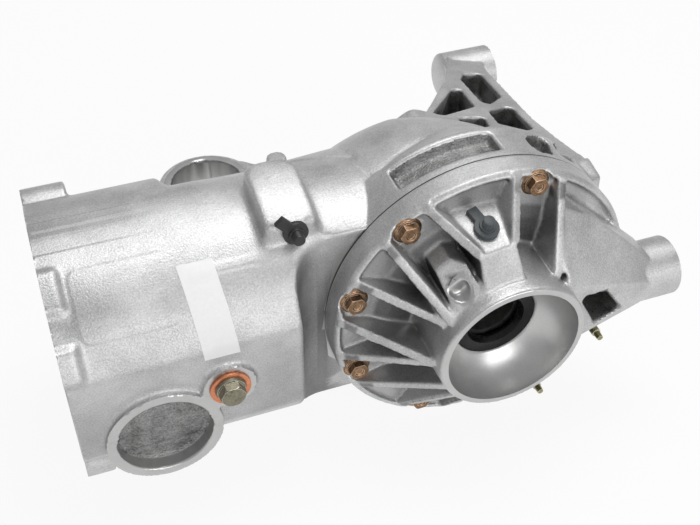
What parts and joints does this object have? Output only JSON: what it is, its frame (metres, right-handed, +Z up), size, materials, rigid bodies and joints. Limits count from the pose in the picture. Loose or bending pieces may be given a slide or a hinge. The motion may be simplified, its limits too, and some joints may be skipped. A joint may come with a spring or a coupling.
{
  "type": "differential assembly",
  "caption": "Rear axle differential in a ribbed cast aluminium case with an open coupling tunnel, meshed bevel gears, bearings, seals and mounting bosses.",
  "frame": {"origin": "centre of the coupling flange face, on the input axis", "axes": "+X from the coupling end along the input axis to the rear, output axis along Y with the cover on -Y, +Z up"},
  "size_m": [0.376, 0.302, 0.194],
  "materials": {
    "cast_aluminium": "satin as-cast",
    "cast_aluminium_cover": "satin as-cast",
    "gasket": "matte",
    "bolt_bronze_zinc": "coppery zinc flake",
    "stud_yellow_zinc": "yellow zinc",
    "steel": "ground",
    "steel_dark": "black oxide",
    "plug_zinc": "yellow zinc, dulled",
    "copper": "annealed copper",
    "black_plastic": "matte",
    "dark_vent": "matte",
    "seal_rubber": "semi-matte",
    "cast_iron": "as-cast",
    "gear_steel": "ground, oiled",
    "bearing_steel": "polished",
    "bronze": "satin"
  },
  "bodies": {
    "housing": {"main_housing": "cast_aluminium", "side_cover": "cast_aluminium_cover", "cover_gasket": "gasket", "cover_bolts": "bolt_bronze_zinc", "cover_studs": "stud_yellow_zinc", "cover_dowels": "steel", "level_plug": "plug_zinc", "level_plug_washer": "copper", "housing_breather": "black_plastic", "cover_breather": "dark_vent", "pinion_seal": "seal_rubber", "pinion_depth_shim": "steel", "near_preload_shim": "steel", "far_preload_shim": "steel", "near_output_seal": "seal_rubber", "far_output_seal": "seal_rubber", "near_bearing_outer_race": "bearing_steel", "far_bearing_outer_race": "bearing_steel", "pinion_head_bearing_outer_race": "bearing_steel", "pinion_nose_bearing_outer_race": "bearing_steel"},
    "pinion": {"pinion_gear_shaft": "gear_steel", "pinion_spacer": "steel", "pinion_seal_sleeve": "steel", "pinion_nut": "steel", "pinion_head_bearing_inner_race": "bearing_steel", "pinion_nose_bearing_inner_race": "bearing_steel"},
    "carrier": {"differential_case": "cast_iron", "ring_gear": "gear_steel", "ring_gear_bolts": "steel_dark", "cross_pin": "steel", "cross_pin_lock_pin": "steel", "spider_washer_upper": "bronze", "spider_washer_lower": "bronze", "side_washer_near": "bronze", "side_washer_far": "bronze", "near_bearing_inner_race": "bearing_steel", "far_bearing_inner_race": "bearing_steel"},
    "side_gear_near": {"side_gear_near": "gear_steel"},
    "side_gear_far": {"side_gear_far": "gear_steel"},
    "spider_gear_upper": {"spider_gear_upper": "gear_steel"},
    "spider_gear_lower": {"spider_gear_lower": "gear_steel"},
    "near_rollers": {"near_bearing_rollers": "bearing_steel"},
    "far_rollers": {"far_bearing_rollers": "bearing_steel"},
    "head_rollers": {"pinion_head_bearing_rollers": "bearing_steel"},
    "nose_rollers": {"pinion_nose_bearing_rollers": "bearing_steel"}
  },
  "joints": [
    {"name": "carrier_spin", "type": "hinge", "parent": "housing", "child": "carrier", "pos_m": [0.252, 0, 0], "axis": [0, 1, 0], "continuous": true},
    {"name": "pinion_spin", "type": "hinge", "parent": "housing", "child": "pinion", "pos_m": [0.252, 0, 0], "axis": [1, 0, 0], "continuous": true},
    {"name": "side_gear_near_spin", "type": "hinge", "parent": "carrier", "child": "side_gear_near", "pos_m": [0.252, -0.005, 0], "axis": [0, 1, 0], "continuous": true},
    {"name": "side_gear_far_spin", "type": "hinge", "parent": "carrier", "child": "side_gear_far", "pos_m": [0.252, -0.005, 0], "axis": [0, 1, 0], "continuous": true},
    {"name": "spider_gear_upper_spin", "type": "hinge", "parent": "carrier", "child": "spider_gear_upper", "pos_m": [0.252, -0.005, 0], "axis": [0, 0, 1], "continuous": true},
    {"name": "spider_gear_lower_spin", "type": "hinge", "parent": "carrier", "child": "spider_gear_lower", "pos_m": [0.252, -0.005, 0], "axis": [0, 0, 1], "continuous": true},
    {"name": "near_rollers_spin", "type": "hinge", "parent": "housing", "child": "near_rollers", "pos_m": [0.252, 0, 0], "axis": [0, 1, 0], "continuous": true},
    {"name": "far_rollers_spin", "type": "hinge", "parent": "housing", "child": "far_rollers", "pos_m": [0.252, 0, 0], "axis": [0, 1, 0], "continuous": true},
    {"name": "head_rollers_spin", "type": "hinge", "parent": "housing", "child": "head_rollers", "pos_m": [0.252, 0, 0], "axis": [1, 0, 0], "continuous": true},
    {"name": "nose_rollers_spin", "type": "hinge", "parent": "housing", "child": "nose_rollers", "pos_m": [0.252, 0, 0], "axis": [1, 0, 0], "continuous": true}
  ],
  "couplings": [
    {"joint": "pinion_spin", "follows": "carrier_spin", "ratio": -2.5833},
    {"joint": "near_rollers_spin", "follows": "carrier_spin", "ratio": 0.44639},
    {"joint": "far_rollers_spin", "follows": "carrier_spin", "ratio": 0.44639},
    {"joint": "head_rollers_spin", "follows": "carrier_spin", "ratio": -1.1001},
    {"joint": "nose_rollers_spin", "follows": "carrier_spin", "ratio": -1.0989},
    {"joint": "side_gear_far_spin", "follows": "side_gear_near_spin", "ratio": -1},
    {"joint": "spider_gear_upper_spin", "follows": "side_gear_near_spin", "ratio": 1.6},
    {"joint": "spider_gear_lower_spin", "follows": "side_gear_near_spin", "ratio": -1.6}
  ]
}
